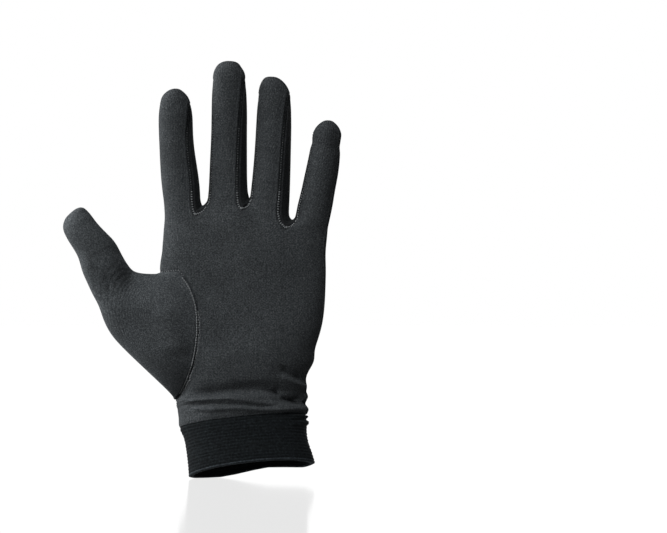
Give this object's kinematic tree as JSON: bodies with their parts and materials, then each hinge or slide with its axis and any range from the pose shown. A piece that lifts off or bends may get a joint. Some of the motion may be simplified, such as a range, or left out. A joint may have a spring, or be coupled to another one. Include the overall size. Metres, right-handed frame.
{
  "type": "glove liner",
  "caption": "Thin knitted glove liner for the left hand in charcoal jersey, filled as worn, with a set-in thumb, strips between the fingers and a ribbed elastic cuff",
  "frame": {"origin": "centre of the cuff's mouth, where the hand goes in", "axes": "+X towards the little finger, +Y from the palm to the back of the hand, +Z from the cuff to the fingertips"},
  "size_m": [0.163, 0.0525, 0.2449],
  "materials": {
    "jersey": "fine matt jersey knit",
    "rib": "matt elastic rib knit"
  },
  "bodies": {
    "root": {"palm_panel": "jersey", "back_panel": "jersey", "strip_index_middle": "jersey", "strip_middle_ring": "jersey", "strip_ring_little": "jersey", "thumb": "jersey", "cuff": "rib"}
  },
  "joints": []
}
